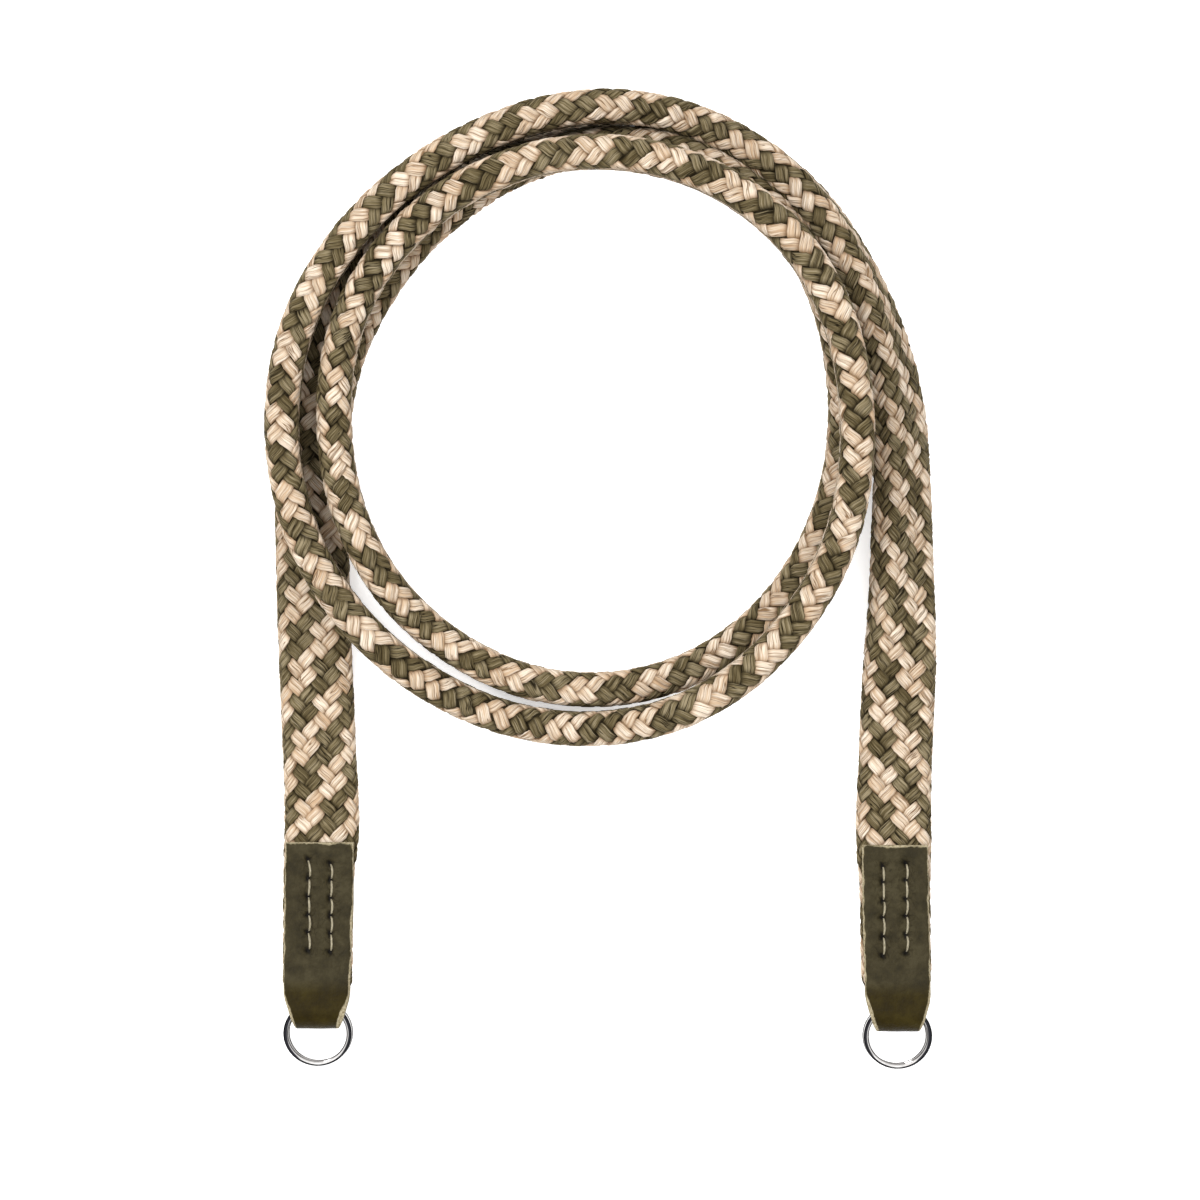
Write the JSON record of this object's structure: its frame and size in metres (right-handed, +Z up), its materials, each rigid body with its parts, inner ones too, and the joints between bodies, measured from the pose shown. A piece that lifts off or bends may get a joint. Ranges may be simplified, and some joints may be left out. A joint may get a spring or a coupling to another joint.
{
  "type": "camera neck strap",
  "caption": "Flat two-colour braided neck strap laid in a coil on its edge, with a stitched leather eye and a small steel split ring at each end.",
  "frame": {"origin": "middle of the bounding box's bottom face, on the surface that the strap lies on", "axes": "+Z up from the surface, +Y from the split rings towards the coil's far side, +X from the left eye to the right eye"},
  "size_m": [0.1394, 0.2034, 0.0311],
  "materials": {
    "braid": "two-colour braided cord, olive and sand",
    "leather": "smooth dark olive leather with paler cut edges",
    "steel": "polished flat steel wire"
  },
  "bodies": {
    "strap": {"braided_strap": "braid", "leather_tab_left": "leather", "leather_tab_right": "leather"},
    "ring_left": {"split_ring_left": "steel"},
    "ring_right": {"split_ring_right": "steel"}
  },
  "joints": [
    {"name": "ring_left_swing", "type": "hinge", "parent": "strap", "child": "ring_left", "pos_m": [-0.0591, -0.09, 0.0042], "axis": [-1, 0, 0], "range_deg": [-42, 77]},
    {"name": "ring_right_swing", "type": "hinge", "parent": "strap", "child": "ring_right", "pos_m": [0.0617, -0.0906, 0.0042], "axis": [-1, 0, 0], "range_deg": [-42, 77]}
  ]
}
